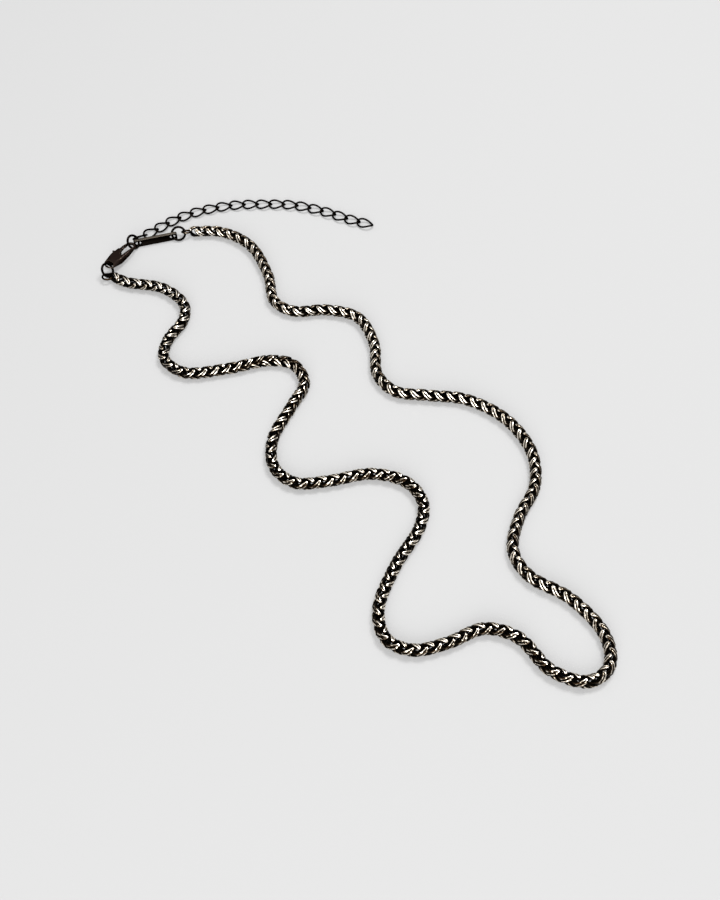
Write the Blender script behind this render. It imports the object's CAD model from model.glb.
import math

import bmesh
import bpy
from mathutils import Matrix, Vector


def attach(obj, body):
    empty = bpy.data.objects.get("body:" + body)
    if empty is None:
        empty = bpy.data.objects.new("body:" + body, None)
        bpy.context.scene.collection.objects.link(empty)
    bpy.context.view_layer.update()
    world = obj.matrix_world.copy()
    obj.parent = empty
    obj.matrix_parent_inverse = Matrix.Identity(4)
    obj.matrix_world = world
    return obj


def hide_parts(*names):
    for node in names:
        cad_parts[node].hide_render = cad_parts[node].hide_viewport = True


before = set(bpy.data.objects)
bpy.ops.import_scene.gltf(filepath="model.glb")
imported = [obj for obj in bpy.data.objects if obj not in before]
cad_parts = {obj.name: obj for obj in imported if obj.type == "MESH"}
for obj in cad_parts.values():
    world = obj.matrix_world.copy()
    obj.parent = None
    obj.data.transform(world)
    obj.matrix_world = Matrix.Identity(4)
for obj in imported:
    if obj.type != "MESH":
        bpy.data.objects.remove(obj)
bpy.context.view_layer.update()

# Wheat chain: some three hundred loops of round brass wire, each folded in two and threaded
# through the folds before it a quarter turn apart, so four rows of slanted wire ends cover the
# outside. It was blackened and tumbled, and lies here in two lengths that meet in front.
MM = 0.001
# out to the ridges; the source's tubes have 0.06 mm less
CHAIN_RADIUS = 1.8 * MM
# x and y of the middle line in millimetres, as in the part's source, and how far the chain
# has rolled about its own length there, in degrees
LEFT_ROUTE = [
    (-69, 51.4, 95), (-64.5, 49, 95), (-53, 46.5, 90), (-46, 40, 70), (-45.5, 33.5, 55),
    (-49.5, 25.5, 45), (-50, 18.5, 45), (-43.5, 13, 55), (-30.5, 14.5, 50), (-18.5, 17.5, -15),
    (-11.5, 16, -35), (-8, 9, -60), (-11.5, 0.5, -85), (-16.5, -11.5, -100), (-15.5, -21, -140),
    (-9.5, -26, -125), (-1, -25.5, -115), (12, -23, -120), (21.5, -26, -140), (25.5, -32.5, -140),
    (24.5, -40, -130), (17.5, -52.5, -145), (13, -65.5, -155), (15, -73.5, -140),
    (21.5, -76.5, -125), (30.5, -74.5, -120), (40, -70.5, -120), (48.5, -73, -145),
    (56, -82, -145), (65, -85, -135),
]
RIGHT_ROUTE = [
    (65, -85, 45), (70.6, -81, 40), (70.6, -72.5, 30), (63, -62, 40), (52.5, -55, 40),
    (49, -47.5, 40), (51.5, -37, 45), (56.5, -27, 40), (56.5, -15.5, 55), (50, -4, 40),
    (39, 3, 40), (28, 4.5, 50), (18.5, 6, 45), (13.5, 12, 50), (12.5, 24, 65),
    (7.5, 34.5, 55), (-2, 37.5, 50), (-12, 37, 30), (-18, 41, 30), (-20.5, 52, 40),
    (-27, 65, 65), (-36.5, 71, 20), (-45.75, 71.2, 20),
]
STEPS_BETWEEN_POINTS = 12


def smooth_line(route, before, after):
    """The centripetal curve of the part's source through a route, in metres, with its roll in
    radians. The points before and after it only set how it starts and ends."""
    pts = [Vector((p[0] * MM, p[1] * MM)) for p in (before, *route, after)]
    line = []
    for i in range(1, len(pts) - 2):
        p0, p1, p2, p3 = pts[i - 1:i + 3]
        t1 = math.sqrt((p1 - p0).length)
        t2 = t1 + math.sqrt((p2 - p1).length)
        t3 = t2 + math.sqrt((p3 - p2).length)
        for k in range(STEPS_BETWEEN_POINTS + (i == len(pts) - 3)):
            t = t1 + (t2 - t1) * k / STEPS_BETWEEN_POINTS
            a1 = p0.lerp(p1, t / t1)
            a2 = p1.lerp(p2, (t - t1) / (t2 - t1))
            a3 = p2.lerp(p3, (t - t2) / (t3 - t2))
            b1 = a1.lerp(a2, t / t2)
            b2 = a2.lerp(a3, (t - t1) / (t3 - t1))
            at = b1.lerp(b2, (t - t1) / (t2 - t1))
            rolls = [math.radians(p[2]) if len(p) > 2 else 0.0 for p in route[i - 1:i + 1]]
            roll = rolls[0] + (rolls[1] - rolls[0]) * k / STEPS_BETWEEN_POINTS
            line.append((at.x, at.y, roll))
    return line


def mirrored(end, beside):
    """The point as far past a route's end as its neighbour lies before it."""
    return (2 * end[0] - beside[0], 2 * end[1] - beside[1])


def in_scene(name, data):
    """Puts a mesh, lamp or camera in the scene as an object."""
    thing = bpy.data.objects.new(name, data)
    bpy.context.collection.objects.link(thing)
    return thing


def path_piece(name, line, height):
    """A piece that is only its middle line so far, with its roll kept at each point."""
    mesh = bpy.data.meshes.new(name)
    edges = [(i, i + 1) for i in range(len(line) - 1)]
    mesh.from_pydata([(x, y, height) for x, y, _ in line], edges, [])
    rolls = mesh.attributes.new("roll", "FLOAT", "POINT")
    rolls.data.foreach_set("value", [roll for _, _, roll in line])
    return in_scene(name, mesh)


def add(tree, kind, feeds=None, **settings):
    """Adds one node with its settings, and feeds its inputs from values, nodes or sockets."""
    node = tree.nodes.new(kind)
    for name, value in settings.items():
        setattr(node, name, value)
    for key, value in (feeds or {}).items():
        if isinstance(value, bpy.types.Node):
            value = value.outputs[0]
        if isinstance(value, bpy.types.NodeSocket):
            tree.links.new(value, node.inputs[key])
        else:
            node.inputs[key].default_value = value
    return node


def new_tree(name, sizes):
    """An empty geometry tree: the path comes in, with one named input for each size."""
    tree = bpy.data.node_groups.new(name, "GeometryNodeTree")
    tree.interface.new_socket("Path", in_out="INPUT", socket_type="NodeSocketGeometry")
    for label, kind in sizes.items():
        tree.interface.new_socket(label, in_out="INPUT", socket_type="NodeSocket" + kind)
    tree.interface.new_socket("Geometry", in_out="OUTPUT", socket_type="NodeSocketGeometry")
    given = add(tree, "NodeGroupInput")
    return tree, {socket.name: socket for socket in given.outputs}


def sampled(tree, path, along):
    """The path's place, heading and roll at a length along it."""
    kept = add(tree, "GeometryNodeInputNamedAttribute", {"Name": "roll"}, data_type="FLOAT")
    spot = add(tree, "GeometryNodeSampleCurve", {"Curves": path, "Value": kept, "Length": along},
               mode="LENGTH", use_all_curves=True)
    way = add(tree, "ShaderNodeSeparateXYZ", {0: spot.outputs["Tangent"]})
    heading = add(tree, "ShaderNodeMath", {0: way.outputs["Y"], 1: way.outputs["X"]},
                  operation="ARCTAN2")
    return spot.outputs["Position"], heading, spot.outputs["Value"]


def coated(tree, size, links):
    """Ends a tree: smooth wires in the piece's metal."""
    soft = add(tree, "GeometryNodeSetShadeSmooth", {"Geometry": links})
    metal = add(tree, "GeometryNodeSetMaterial", {"Geometry": soft, "Material": size["Metal"]})
    add(tree, "NodeGroupOutput", {0: metal})


def threaded(tree, size, link, odd_link):
    """Lays the links in a straight row, every second one a quarter turn on, then bends and rolls
    the whole row along the path, so that each loop follows the chain's bend."""
    index = add(tree, "GeometryNodeInputIndex")
    along = add(tree, "ShaderNodeMath", {0: index, 1: size["Spacing"], 2: size["First link at"]},
                operation="MULTIPLY_ADD")
    in_row = add(tree, "ShaderNodeCombineXYZ", {"X": along})
    points = add(tree, "GeometryNodePoints", {"Count": size["Links"], "Position": in_row})
    odd = add(tree, "ShaderNodeMath", {0: index, 1: 2.0}, operation="MODULO")
    quarter = add(tree, "ShaderNodeMath", {0: odd, 1: math.pi / 2}, operation="MULTIPLY")
    about_row = add(tree, "ShaderNodeCombineXYZ", {"X": quarter})
    turned = add(tree, "FunctionNodeEulerToRotation", {0: about_row})
    row = add(tree, "GeometryNodeJoinGeometry")
    for kind, parity in ((link, 0.0), (odd_link, 1.0)):
        chosen = add(tree, "ShaderNodeMath", {0: odd, 1: parity, 2: 0.1}, operation="COMPARE")
        laid = add(tree, "GeometryNodeInstanceOnPoints",
                   {"Points": points, "Selection": chosen, "Instance": kind, "Rotation": turned})
        tree.links.new(laid.outputs[0], row.inputs[0])
    wires = add(tree, "GeometryNodeRealizeInstances", {"Geometry": row})
    path = add(tree, "GeometryNodeMeshToCurve", {"Mesh": size["Path"]})
    spot = add(tree, "ShaderNodeSeparateXYZ", {0: add(tree, "GeometryNodeInputPosition")})
    # past an end of the path the row goes on straight
    whole = add(tree, "GeometryNodeCurveLength", {0: path})
    reached = add(tree, "ShaderNodeClamp", {"Value": spot.outputs["X"], "Min": 0.0, "Max": whole})
    past = add(tree, "ShaderNodeMath", {0: spot.outputs["X"], 1: reached}, operation="SUBTRACT")
    place, heading, roll = sampled(tree, path, reached)
    off = add(tree, "ShaderNodeCombineXYZ",
              {"X": past, "Y": spot.outputs["Y"], "Z": spot.outputs["Z"]})
    rolled = add(tree, "ShaderNodeVectorRotate", {"Vector": off, "Angle": roll},
                 rotation_type="X_AXIS")
    headed = add(tree, "ShaderNodeVectorRotate", {"Vector": rolled, "Angle": heading},
                 rotation_type="Z_AXIS")
    on_path = add(tree, "ShaderNodeVectorMath", {0: place, 1: headed}, operation="ADD")
    bent = add(tree, "GeometryNodeSetPosition", {"Geometry": wires, "Position": on_path})
    coated(tree, size, bent)


# how the loop comes out of the chain's middle, and swings from its slant to its rounded end
RISE = ((0.0, 0.0), (0.3, 0.52), (0.62, 0.97), (1.0, 1.0))
SWING = ((0.0, 0.0), (0.4, 0.0), (0.7, 0.36), (1.0, 1.0))
# powers below one make the loop's rounded ends blunt, as bent wire is
BLUNT_ENDS, BLUNT_SIDES = 0.8, 0.6
# sine and cosine of the wires' slant, some 40 degrees
SLANT_ALONG, SLANT_ACROSS = 0.65, 0.76
LOOP_POINTS, LOOP_WIRE_SIDES = 24, 5


def wheat_link(tree, size, hand):
    """A loop folded in two: from the fold in the chain's middle its two ends come out on opposite
    sides and lie slanted on the outside, one strand beside the other. hand -1 slants them the
    other way."""
    ring = add(tree, "GeometryNodeCurvePrimitiveCircle",
               {"Resolution": LOOP_POINTS, "Radius": 1.0})
    part_way = add(tree, "GeometryNodeSplineParameter")
    turn = add(tree, "ShaderNodeMath", {0: part_way, 1: 2 * math.pi}, operation="MULTIPLY")
    cosine = add(tree, "ShaderNodeMath", {0: turn}, operation="COSINE")
    sine = add(tree, "ShaderNodeMath", {0: turn}, operation="SINE")
    side = add(tree, "ShaderNodeMath", {0: cosine}, operation="SIGN")
    end_share = add(tree, "ShaderNodeMath", {0: cosine}, operation="ABSOLUTE")
    reach = add(tree, "ShaderNodeMath", {0: end_share, 1: BLUNT_ENDS}, operation="POWER")
    side_share = add(tree, "ShaderNodeMath", {0: sine}, operation="ABSOLUTE")
    wide = add(tree, "ShaderNodeMath", {0: side_share, 1: BLUNT_SIDES}, operation="POWER")
    which = add(tree, "ShaderNodeMath", {0: sine}, operation="SIGN")
    width = add(tree, "ShaderNodeMath", {0: wide, 1: which}, operation="MULTIPLY")
    # the wires' middles lie on this shell
    shell = add(tree, "ShaderNodeMath", {0: size["Chain radius"], 1: size["Wire radius"]},
                operation="SUBTRACT")
    rise = add(tree, "ShaderNodeFloatCurve", {"Value": reach})
    swing = add(tree, "ShaderNodeFloatCurve", {"Value": reach})
    for curve, shape in ((rise, RISE), (swing, SWING)):
        points = curve.mapping.curves[0].points
        points[0].location, points[-1].location = shape[0], shape[-1]
        for place in shape[1:-1]:
            points.new(*place)
        curve.mapping.update()
    out = add(tree, "ShaderNodeMath", {0: rise, 1: shell}, operation="MULTIPLY")
    strand = add(tree, "ShaderNodeMath", {0: width, 1: side}, operation="MULTIPLY")
    apart = add(tree, "ShaderNodeMath", {0: strand, 1: size["Strand spread"]},
                operation="MULTIPLY")
    lean = add(tree, "ShaderNodeMath", {0: reach, 1: -SLANT_ALONG}, operation="MULTIPLY")
    from_middle = add(tree, "ShaderNodeMath", {0: reach, 1: 0.5}, operation="SUBTRACT")
    straight = add(tree, "ShaderNodeMath", {0: from_middle, 1: size["Link length"]},
                   operation="MULTIPLY")
    along = add(tree, "ShaderNodeMath", {0: apart, 1: lean, 2: straight},
                operation="MULTIPLY_ADD")
    across = add(tree, "ShaderNodeMath", {0: apart, 1: SLANT_ACROSS}, operation="MULTIPLY")
    flat = add(tree, "ShaderNodeCombineXYZ", {"X": along, "Y": out, "Z": across})
    both_ways = add(tree, "ShaderNodeMath", {0: swing, 1: 2.0, 2: -1.0},
                    operation="MULTIPLY_ADD")
    angle = add(tree, "ShaderNodeMath", {0: both_ways, 1: size["Swing"]}, operation="MULTIPLY")
    bent = add(tree, "ShaderNodeVectorRotate", {"Vector": flat, "Angle": angle},
               rotation_type="X_AXIS")
    # what the bending took past the shell comes back onto it
    section = add(tree, "ShaderNodeVectorMath", {0: bent, 1: (0, 1, 1)}, operation="MULTIPLY")
    far = add(tree, "ShaderNodeVectorMath", {0: section}, operation="LENGTH")
    over = add(tree, "ShaderNodeMath", {0: far.outputs["Value"], 1: shell}, operation="MAXIMUM")
    fit = add(tree, "ShaderNodeMath", {0: shell, 1: over}, operation="DIVIDE")
    on_side = add(tree, "ShaderNodeMath", {0: fit, 1: side}, operation="MULTIPLY")
    on_hand = add(tree, "ShaderNodeMath", {0: on_side, 1: float(hand)}, operation="MULTIPLY")
    scale = add(tree, "ShaderNodeCombineXYZ", {"X": 1.0, "Y": on_side, "Z": on_hand})
    place = add(tree, "ShaderNodeVectorMath", {0: bent, 1: scale}, operation="MULTIPLY")
    folded = add(tree, "GeometryNodeSetPosition", {"Geometry": ring, "Position": place})
    round_wire = add(tree, "GeometryNodeCurvePrimitiveCircle",
                     {"Resolution": LOOP_WIRE_SIDES, "Radius": size["Wire radius"]})
    link = add(tree, "GeometryNodeCurveToMesh", {"Curve": folded, "Profile Curve": round_wire})
    # rubbed: how far a spot stands out of the chain and faces away from it, where tumbling
    # reaches it
    here = add(tree, "GeometryNodeInputPosition")
    spot = add(tree, "ShaderNodeVectorMath", {0: here, 1: (0, 1, 1)}, operation="MULTIPLY")
    depth = add(tree, "ShaderNodeVectorMath", {0: spot}, operation="LENGTH")
    share = add(tree, "ShaderNodeMath", {0: depth.outputs["Value"], 1: size["Chain radius"]},
                operation="DIVIDE")
    outward = add(tree, "ShaderNodeVectorMath", {0: spot}, operation="NORMALIZE")
    normal = add(tree, "GeometryNodeInputNormal")
    facing = add(tree, "ShaderNodeVectorMath", {0: outward, 1: normal}, operation="DOT_PRODUCT")
    open_side = add(tree, "ShaderNodeMath", {0: facing.outputs["Value"], 1: 0.5, 2: 0.5},
                    operation="MULTIPLY_ADD")
    rubbed = add(tree, "ShaderNodeMath", {0: open_side, 1: share, 2: size["Wear"]},
                 operation="MULTIPLY_ADD")
    return add(tree, "GeometryNodeStoreNamedAttribute",
               {"Geometry": link, "Name": "rubbed", "Value": rubbed},
               data_type="FLOAT", domain="POINT")


def plain(piece):
    """Applies a piece's modifiers, so that only a plain mesh is left of it."""
    view = bpy.context.evaluated_depsgraph_get()
    mesh = bpy.data.meshes.new_from_object(piece.evaluated_get(view), depsgraph=view)
    piece.modifiers.clear()
    before = piece.data
    piece.data = mesh
    bpy.data.meshes.remove(before)
    return mesh


def made(piece, tree, sizes):
    """Grows a piece from its path with a tree."""
    growth = piece.modifiers.new("growth", "NODES")
    growth.node_group = tree
    for item in tree.interface.items_tree:
        if item.item_type == "SOCKET" and item.name in sizes:
            growth[item.identifier] = sizes[item.name]
    plain(piece)
    return piece


def linear(code):
    """An sRGB hex colour as linear light, for every colour in this file."""
    parts = [int(code[i:i + 2], 16) / 255 for i in (1, 3, 5)]
    return tuple(p / 12.92 if p <= 0.04045 else ((p + 0.055) / 1.055) ** 2.4
                 for p in parts) + (1.0,)


def ramp_stops(ramp, stops):
    """Gives a colour ramp its stops, from the first to the last."""
    elements = ramp.color_ramp.elements
    elements[0].position, elements[0].color = stops[0][0], linear(stops[0][1])
    elements[1].position, elements[1].color = stops[-1][0], linear(stops[-1][1])
    for at, code in stops[1:-1]:
        elements.new(at).color = linear(code)


def antique_brass():
    """Blackened and tumbled brass: the eye sees pale gold ridges, brown sides and black gaps."""
    metal = bpy.data.materials.new("antique_brass_tumbled")
    metal.use_nodes = True
    tree = metal.node_tree
    shader = tree.nodes["Principled BSDF"]
    shader.inputs["Metallic"].default_value = 1.0
    rubbed = add(tree, "ShaderNodeAttribute", attribute_name="rubbed")
    place = add(tree, "ShaderNodeTexCoord").outputs["Object"]
    # uneven wear in patches of about a millimetre
    patches = add(tree, "ShaderNodeTexNoise", {"Vector": place, "Scale": 900.0, "Detail": 3.0})
    uneven = add(tree, "ShaderNodeMath", {0: patches, 1: 0.3, 2: -0.15},
                 operation="MULTIPLY_ADD")
    worn = add(tree, "ShaderNodeMath", {0: rubbed.outputs["Fac"], 1: uneven}, operation="ADD")
    tone = add(tree, "ShaderNodeValToRGB", {0: worn})
    ramp_stops(tone, ((0.74, "#0b0805"), (0.88, "#33261a"), (0.91, "#dccfb8"), (0.94, "#fff6e8")))
    tree.links.new(tone.outputs[0], shader.inputs["Base Color"])
    # what was rubbed is also the smoother
    gloss = add(tree, "ShaderNodeMapRange",
                {"Value": worn, "From Min": 0.6, "From Max": 1.0, "To Min": 0.5, "To Max": 0.22})
    tree.links.new(gloss.outputs[0], shader.inputs["Roughness"])
    return metal


def settle(piece, where, slot, *nodes, body="necklace"):
    """Moves a piece in its mesh and hands it to its body, in place of the nodes it stands for."""
    piece.data.transform(where)
    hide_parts(*nodes)
    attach(piece, body)


BRASS = antique_brass()
WHEAT, wheat_size = new_tree("wheat_links", {
    "Links": "Int", "Spacing": "Float", "First link at": "Float", "Chain radius": "Float",
    "Wire radius": "Float", "Link length": "Float", "Strand spread": "Float", "Swing": "Float",
    "Wear": "Float", "Metal": "Material"})
threaded(WHEAT, wheat_size, wheat_link(WHEAT, wheat_size, 1), wheat_link(WHEAT, wheat_size, -1))
WHEAT_SIZES = {"Chain radius": CHAIN_RADIUS, "Wire radius": 0.38 * MM, "Link length": 5.4 * MM,
               "Strand spread": 0.48 * MM, "Swing": 0.8, "Metal": BRASS}
LEFT_SIZES = {"Links": 159, "First link at": 0.4 * MM, "Spacing": 1.763 * MM, "Wear": 0.003}
RIGHT_SIZES = {"Links": 134, "First link at": 0.0, "Spacing": 1.766 * MM, "Wear": 0.02}
# the ridges stand out of the source's tubes, so the chain lies this much further back and its
# foremost bend ends where theirs does
SET_BACK = 0.04 * MM
left = smooth_line(LEFT_ROUTE, mirrored(LEFT_ROUTE[0], LEFT_ROUTE[1]), RIGHT_ROUTE[1])
right = smooth_line(RIGHT_ROUTE, LEFT_ROUTE[-2], mirrored(RIGHT_ROUTE[-1], RIGHT_ROUTE[-2]))
for node, line, sizes in (("chain_left", left, LEFT_SIZES), ("chain_right", right, RIGHT_SIZES)):
    wheat = made(path_piece("wheat_" + node, line, CHAIN_RADIUS), WHEAT,
                 {**WHEAT_SIZES, **sizes})
    settle(wheat, Matrix.Translation((0, SET_BACK, 0)), "chain_wire", node)

# End links: a small oval of the same brass wire at each end of the wheat chain, soldered shut,
# that the last loops are closed on and the jump rings pass through.
OVAL_POINTS, OVAL_WIRE_SIDES = 32, 10


def strung(tree, size, link):
    """Puts stiff links on the path at their spacing, turned and rolled with it."""
    path = add(tree, "GeometryNodeMeshToCurve", {"Mesh": size["Path"]})
    index = add(tree, "GeometryNodeInputIndex")
    along = add(tree, "ShaderNodeMath", {0: index, 1: size["Spacing"], 2: size["First link at"]},
                operation="MULTIPLY_ADD")
    place, heading, roll = sampled(tree, path, along)
    points = add(tree, "GeometryNodePoints", {"Count": size["Links"], "Position": place})
    turns = add(tree, "ShaderNodeCombineXYZ", {"X": roll, "Z": heading})
    turned = add(tree, "FunctionNodeEulerToRotation", {0: turns})
    laid = add(tree, "GeometryNodeInstanceOnPoints",
               {"Points": points, "Instance": link, "Rotation": turned})
    coated(tree, size, add(tree, "GeometryNodeRealizeInstances", {"Geometry": laid}))


def wire_loop(tree, size):
    """An oval wire loop about its own middle, twisted about its length."""
    ring = add(tree, "GeometryNodeCurvePrimitiveCircle",
               {"Resolution": OVAL_POINTS, "Radius": 1.0})
    part_way = add(tree, "GeometryNodeSplineParameter")
    turn = add(tree, "ShaderNodeMath", {0: part_way, 1: 2 * math.pi}, operation="MULTIPLY")
    cosine = add(tree, "ShaderNodeMath", {0: turn}, operation="COSINE")
    sine = add(tree, "ShaderNodeMath", {0: turn}, operation="SINE")
    x = add(tree, "ShaderNodeMath", {0: cosine, 1: size["Half length"]}, operation="MULTIPLY")
    y = add(tree, "ShaderNodeMath", {0: sine, 1: size["Half width"]}, operation="MULTIPLY")
    flat = add(tree, "ShaderNodeCombineXYZ", {"X": x, "Y": y})
    minus = add(tree, "ShaderNodeMath", {0: cosine, 1: -1.0}, operation="MULTIPLY")
    angle = add(tree, "ShaderNodeMath", {0: minus, 1: size["Twist"]}, operation="MULTIPLY")
    twisted = add(tree, "ShaderNodeVectorRotate", {"Vector": flat, "Angle": angle},
                  rotation_type="X_AXIS")
    shaped = add(tree, "GeometryNodeSetPosition", {"Geometry": ring, "Position": twisted})
    # the long sides rub on cloth and skin, the ends only on their neighbours
    out = add(tree, "ShaderNodeMath", {0: sine}, operation="ABSOLUTE")
    rubbed = add(tree, "ShaderNodeMath", {0: out, 1: 0.25, 2: 0.61}, operation="MULTIPLY_ADD")
    marked = add(tree, "GeometryNodeStoreNamedAttribute",
                 {"Geometry": shaped, "Name": "rubbed", "Value": rubbed},
                 data_type="FLOAT", domain="POINT")
    round_wire = add(tree, "GeometryNodeCurvePrimitiveCircle",
                     {"Resolution": OVAL_WIRE_SIDES, "Radius": size["Wire radius"]})
    return add(tree, "GeometryNodeCurveToMesh", {"Curve": marked, "Profile Curve": round_wire})


def placing(x, y, z, turn, lean=0.0, roll=0.0):
    """Turned about Z, then leant about Y, then rolled about X, in degrees, at a point in mm."""
    return (Matrix.Translation(Vector((x, y, z)) * MM)
            @ Matrix.Rotation(math.radians(turn), 4, "Z")
            @ Matrix.Rotation(math.radians(lean), 4, "Y")
            @ Matrix.Rotation(math.radians(roll), 4, "X"))


LOOPS, loop_size = new_tree("wire_loops", {
    "Links": "Int", "Spacing": "Float", "First link at": "Float", "Half length": "Float",
    "Half width": "Float", "Wire radius": "Float", "Twist": "Float", "Metal": "Material"})
strung(LOOPS, loop_size, wire_loop(LOOPS, loop_size))
# a link that stands alone is made at the middle of a short straight path
SHORT_PATH = [(-5 * MM, 0, 0), (5 * MM, 0, 0)]
ALONE = {"Links": 1, "First link at": 5 * MM}
END_LINK = {**ALONE, "Half length": 1.54 * MM, "Half width": 1.19 * MM,
            "Wire radius": 0.31 * MM, "Twist": 0.0, "Metal": BRASS}
for node, where in (("end_link_left", placing(-70.85, 51.4, 1.75, 0)),
                    ("end_link_right", placing(-47.58, 71.05, 1.85, 2, 0, -26))):
    link = made(path_piece("wire_" + node, SHORT_PATH, 0), LOOPS, END_LINK)
    settle(link, where, "end_link_wire", node)

# Extender: nineteen curb links of thin black nickel plated wire, each twisted a little so that
# it lies flat against the next. The first is bent open and rolled over to go on its ring.
EXTENDER_ROUTE = [
    (-59.3, 71.8), (-52, 77.6), (-44, 81.6), (-34, 84.2), (-24, 84.8), (-14, 84.4), (-4, 81.6),
    (5, 77.7), (13, 74.8),
]
EXTENDER_HEIGHT = 0.88 * MM


def black_nickel(name, streak, dark, rubbed_to, long_edges=None):
    """Black nickel plate over brass: nearly black and glossy, browner where edges are worn,
    with faint polishing lines that run along the piece at the angle streak, in degrees."""
    metal = bpy.data.materials.new(name)
    metal.use_nodes = True
    tree = metal.node_tree
    shader = tree.nodes["Principled BSDF"]
    shader.inputs["Metallic"].default_value = 1.0
    # the plate stays dark where it is seen edge on, so thin wires don't turn grey
    shader.inputs["Specular Tint"].default_value = linear("#505050")
    place = add(tree, "ShaderNodeTexCoord").outputs["Object"]
    smudges = add(tree, "ShaderNodeTexNoise", {"Vector": place, "Scale": 420.0, "Detail": 4.0})
    if long_edges:
        # a bar that stands on edge is rubbed along its two long edges, above and below its middle
        middle, rub_starts, worn_through = long_edges
        height = add(tree, "ShaderNodeSeparateXYZ", {0: place}).outputs["Z"]
        off = add(tree, "ShaderNodeMath", {0: height, 1: middle}, operation="SUBTRACT")
        away = add(tree, "ShaderNodeMath", {0: off}, operation="ABSOLUTE")
        worn = add(tree, "ShaderNodeMapRange",
                   {"Value": away, "From Min": rub_starts, "From Max": worn_through}).outputs[0]
    else:
        # castings carry this mark on their edges; wires have none and stay black
        worn = add(tree, "ShaderNodeAttribute", attribute_name="worn").outputs["Fac"]
    uneven = add(tree, "ShaderNodeMath", {0: smudges, 1: 0.5, 2: -0.25},
                 operation="MULTIPLY_ADD")
    wear = add(tree, "ShaderNodeMath", {0: worn, 1: uneven}, operation="ADD")
    tone = add(tree, "ShaderNodeValToRGB", {0: wear})
    ramp_stops(tone, ((0.0, dark), (0.3, dark), (1.0, rubbed_to)))
    tree.links.new(tone.outputs[0], shader.inputs["Base Color"])
    gloss = add(tree, "ShaderNodeMapRange", {"Value": smudges, "From Min": 0.3, "From Max": 0.7,
                                             "To Min": 0.26, "To Max": 0.42})
    tree.links.new(gloss.outputs[0], shader.inputs["Roughness"])
    # real polishing lines are a few hundredths of a millimetre apart; drawn coarser, to show
    lines_at = add(tree, "ShaderNodeMapping",
                   {"Vector": place, "Rotation": (0, 0, -math.radians(streak)),
                    "Scale": (300, 6000, 6000)})
    lines = add(tree, "ShaderNodeTexNoise", {"Vector": lines_at, "Scale": 1.0, "Detail": 2.0})
    relief = add(tree, "ShaderNodeBump",
                 {"Height": lines, "Strength": 0.12, "Distance": 0.02 * MM})
    tree.links.new(relief.outputs[0], shader.inputs["Normal"])
    return metal


NICKEL = black_nickel("black_nickel_wire", 20, "#0d0a08", "#3e362f")
CURB_LINK = {"Half length": 2.6 * MM, "Half width": 1.7 * MM, "Wire radius": 0.31 * MM,
             "Spacing": 4.36 * MM, "Twist": math.radians(34), "Metal": NICKEL}
FIRST_LINK = {**CURB_LINK, **ALONE, "Half width": 1.6 * MM, "Wire radius": 0.29 * MM,
              "Twist": math.radians(-9)}
first_link = made(path_piece("curb_first_link", SHORT_PATH, 0), LOOPS, FIRST_LINK)
settle(first_link, placing(-62.45, 68.9, 1.75, 46, 20, -42), "extender_wire", "extender_link_01")
extender_line = smooth_line(EXTENDER_ROUTE, mirrored(EXTENDER_ROUTE[0], EXTENDER_ROUTE[1]),
                            mirrored(EXTENDER_ROUTE[-1], EXTENDER_ROUTE[-2]))
curb = made(path_piece("curb_extender", extender_line, EXTENDER_HEIGHT), LOOPS,
            {**CURB_LINK, "Links": 18, "First link at": 0.0})
# these links are a little wider than the source's, so they lie this much nearer the front and
# the farthest of them ends where the source's does
SET_FORWARD = 0.12 * MM
settle(curb, Matrix.Translation((0, -SET_FORWARD, 0)), "extender_wire",
       *(f"extender_link_{n:02d}" for n in range(2, 20)))

# Jump rings: three rings of 0.76 mm wire, plated black, bent open with pliers to go on and
# closed again, so each keeps a fine cut where its two ends meet.
RING_RADIUS, RING_WIRE = 2.12, 0.38
RING_STEPS, RING_SIDES = 48, 12
RING_CUT = math.radians(1.6)


def jump_ring(name, cut):
    """A round ring about the origin, whose wire ends meet at the angle cut, in degrees."""
    shape = bmesh.new()
    around_wire = [2 * math.pi * j / RING_SIDES for j in range(RING_SIDES)]
    circles = []
    for i in range(RING_STEPS + 1):
        at = math.radians(cut) + RING_CUT / 2 + (2 * math.pi - RING_CUT) * i / RING_STEPS
        circle = []
        for k in around_wire:
            out = (RING_RADIUS + RING_WIRE * math.cos(k)) * MM
            up = RING_WIRE * MM * math.sin(k)
            circle.append(shape.verts.new((out * math.cos(at), out * math.sin(at), up)))
        circles.append(circle)
    for one, two in zip(circles, circles[1:]):
        for j in range(RING_SIDES):
            shape.faces.new((one[j], two[j], two[j - 1], one[j - 1])).smooth = True
    shape.faces.new(circles[0])
    shape.faces.new(circles[-1][::-1])
    bmesh.ops.recalc_face_normals(shape, faces=shape.faces)
    mesh = bpy.data.meshes.new(name)
    shape.to_mesh(mesh)
    shape.free()
    mesh.materials.append(NICKEL)
    return in_scene(name, mesh)


for node, where, cut in (("jump_ring_clasp", placing(-70.95, 53.65, 2.3, 71, 0, 52), 300),
                         ("jump_ring_bar", placing(-50.2, 70.35, 1.75, 10, 0, 32), 215),
                         ("jump_ring_extender", placing(-64.2, 65.9, 2.4, 65.5, 0, 51), 40)):
    settle(jump_ring("wire_" + node, cut), where, "ring_wire", node)

# Bar link: a slim bare strip of brass, 14 mm long, sheared from sheet, drilled near each end,
# tumbled so that its edges are soft, and plated black. It stands on its long edge.


def cleaned(name, node):
    """A closed copy of a node's mesh, with its loose triangles joined into whole faces."""
    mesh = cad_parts[node].data.copy()
    mesh.name = name
    mesh.materials.clear()
    shape = bmesh.new()
    shape.from_mesh(mesh)
    bmesh.ops.remove_doubles(shape, verts=shape.verts, dist=0.001 * MM)
    bmesh.ops.dissolve_limit(shape, angle_limit=math.radians(1), verts=shape.verts,
                             edges=shape.edges)
    shape.to_mesh(mesh)
    shape.free()
    return in_scene(name, mesh)


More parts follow.
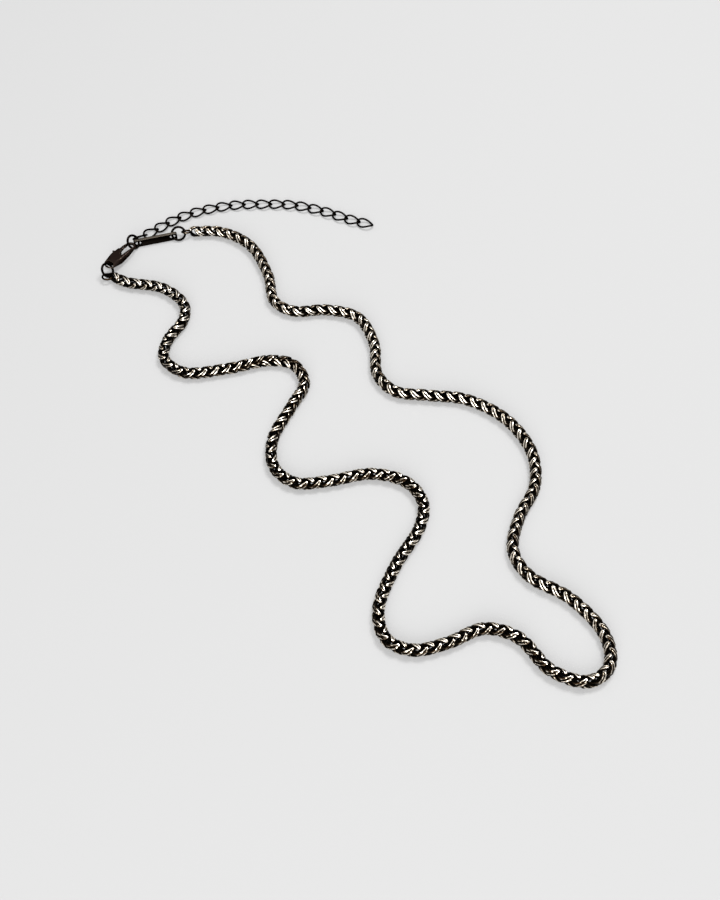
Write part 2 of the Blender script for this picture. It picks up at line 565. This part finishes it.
def finished(piece, metal):
    """Applies a piece's modifiers, marks its worn edges and gives it its metal."""
    mesh = plain(piece)
    shape = bmesh.new()
    shape.from_mesh(mesh)
    bulge = []
    for v in shape.verts:
        # 0 where the surface is flat, and more the sharper an edge falls away on all sides
        ways = [(e.other_vert(v).co - v.co).normalized().dot(v.normal) for e in v.link_edges]
        bulge.append(min(max(-sum(ways) / max(len(ways), 1) * 6, 0.0), 1.0))
    shape.free()
    mesh.attributes.new("worn", "FLOAT", "POINT").data.foreach_set("value", bulge)
    mesh.materials.append(metal)
    for face in mesh.polygons:
        face.use_smooth = True


# the height of the bar's middle, and how far off it the plate starts to wear and is worn through
BAR_EDGES = (1.4 * MM, 1.26 * MM, 1.36 * MM)
bar = cleaned("bar_strip", "bar_link")
soft_edges = bar.modifiers.new("soft_edges", "BEVEL")
soft_edges.width = 0.11 * MM
soft_edges.segments = 3
soft_edges.limit_method = "ANGLE"
soft_edges.angle_limit = math.radians(50)
soft_edges.harden_normals = True
finished(bar, black_nickel("black_nickel_bar", 15.5, "#16120f", "#5e574e", BAR_EDGES))
settle(bar, Matrix(), "bar_metal", "bar_link")

# Lobster clasp: the body and its sprung lever are cast in brass, tumbled smooth and plated
# black; the lever turns on a pin in the body's slot and a small nub on it takes the thumb.
CLASP_METAL = black_nickel("black_nickel_clasp", 54, "#261e1b", "#7c6e60")
for name, node, grain, passes, body in (
        ("clasp_casting", "clasp_body", 0.085 * MM, 7, "necklace"),
        ("clasp_lever_casting", "clasp_lever", 0.05 * MM, 5, "lever")):
    casting = cleaned(name, node)
    skin = casting.modifiers.new("skin", "REMESH")
    skin.mode = "VOXEL"
    skin.voxel_size = grain
    tumbling = casting.modifiers.new("tumbling", "SMOOTH")
    tumbling.factor = 0.5
    tumbling.iterations = passes
    finished(casting, CLASP_METAL)
    settle(casting, Matrix(), "clasp_metal", node, body=body)

# The surface it lies on and the photographer's light: a pale table, a large soft lamp high on
# the right, a weaker one low in front, and the camera looking down at 55 degrees.
FLOOR_REACH = 3
# a hair below the necklace, so that the two don't flicker through each other
FLOOR_HEIGHT = -0.02 * MM
floor_mesh = bpy.data.meshes.new("floor")
corners = [(FLOOR_REACH * x, FLOOR_REACH * y, FLOOR_HEIGHT)
           for x, y in ((-1, -1), (1, -1), (1, 1), (-1, 1))]
floor_mesh.from_pydata(corners, [], [(0, 1, 2, 3)])
floor = in_scene("floor", floor_mesh)
pale = bpy.data.materials.new("pale_table")
pale.use_nodes = True
sheet = pale.node_tree.nodes["Principled BSDF"]
sheet.inputs["Base Color"].default_value = linear("#7c7c7c")
sheet.inputs["Roughness"].default_value = 0.9
# a translucent sheet lit a little from below, as under small wares, so that shadows stay light
sheet.inputs["Emission Color"].default_value = linear("#ffffff")
sheet.inputs["Emission Strength"].default_value = 0.32
floor.data.materials.append(pale)


def lamp(name, place, width, power):
    """A round soft lamp that faces the necklace."""
    light = bpy.data.lights.new(name, "AREA")
    light.shape = "DISK"
    light.size = width
    light.energy = power
    stand = in_scene(name, light)
    stand.location = place
    stand.rotation_euler = (-Vector(place)).to_track_quat("-Z", "Y").to_euler()


lamp("key_lamp", (0.24, 0.3, 0.85), 0.36, 9.5)
# broad and low in front, it lights the flanks of the wires that face the camera
lamp("fill_lamp", (-0.1, -0.75, 0.4), 0.6, 8.0)
# the studio's white ceiling, which fades to darkness at the horizon and leaves the metal's
# sides dark
studio = bpy.data.worlds.new("studio")
studio.use_nodes = True
room = studio.node_tree
around = add(room, "ShaderNodeTexCoord").outputs["Generated"]
upward = add(room, "ShaderNodeSeparateXYZ", {0: around}).outputs["Z"]
ceiling = add(room, "ShaderNodeMapRange", {"Value": upward, "From Min": 0.3, "From Max": 0.75,
                                           "To Min": 0.08, "To Max": 0.74})
# the camera itself sees a pale wall behind the table
camera_sees = add(room, "ShaderNodeLightPath").outputs["Is Camera Ray"]
wall = add(room, "ShaderNodeMath", {0: camera_sees, 1: 0.6}, operation="MULTIPLY")
seen = add(room, "ShaderNodeMath", {0: ceiling, 1: wall}, operation="MAXIMUM")
room.links.new(seen.outputs[0], room.nodes["Background"].inputs["Color"])
room.nodes["Background"].inputs["Strength"].default_value = 1.45
bpy.context.scene.world = studio

LOOK_DOWN = math.radians(55)
LOOK_AT = Vector((0.0083, -0.0136, 0))
CAMERA_DISTANCE = 0.34
lens = bpy.data.cameras.new("camera")
lens.sensor_fit = "VERTICAL"
lens.sensor_height = 36
lens.lens = 48
lens.clip_start = 0.01
camera = in_scene("camera", lens)
camera.location = LOOK_AT + CAMERA_DISTANCE * Vector((0, -math.cos(LOOK_DOWN),
                                                      math.sin(LOOK_DOWN)))
camera.rotation_euler = (math.radians(90) - LOOK_DOWN, 0, 0)
bpy.context.scene.camera = camera
bpy.context.scene.view_settings.view_transform = "Standard"
